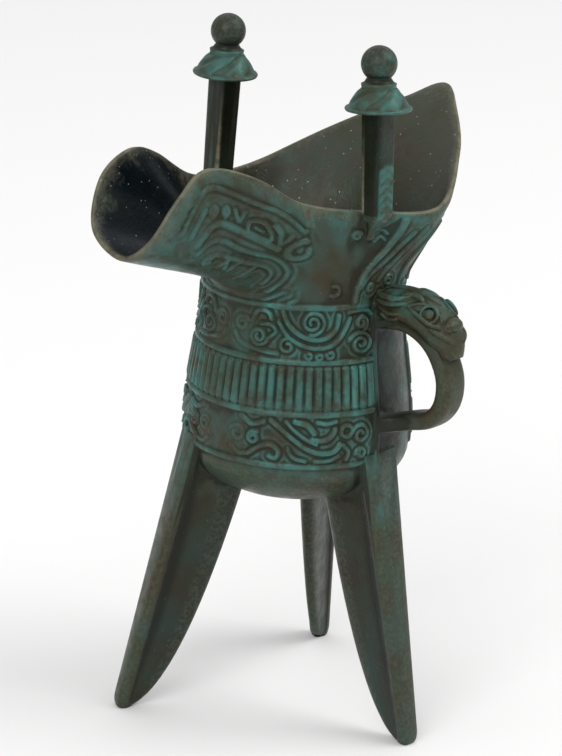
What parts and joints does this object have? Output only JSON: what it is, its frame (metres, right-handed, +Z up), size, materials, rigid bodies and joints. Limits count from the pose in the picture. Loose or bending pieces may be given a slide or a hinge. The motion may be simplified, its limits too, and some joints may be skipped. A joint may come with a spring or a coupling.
{
  "type": "tripod wine vessel",
  "caption": "Cast bronze tripod wine cup with a pouring spout, pointed tail, capped rim posts, blade legs and an animal-head loop handle.",
  "frame": {"origin": "on the floor under the middle of the plan of the whole vessel", "axes": "+Z up, -X towards the lip of the spout, +X towards the tip of the tail, -Y towards the handle"},
  "size_m": [0.132, 0.094, 0.2],
  "materials": {
    "bronze": "satin, dark green-brown patina"
  },
  "bodies": {
    "root": {"vessel": "bronze"}
  },
  "joints": []
}
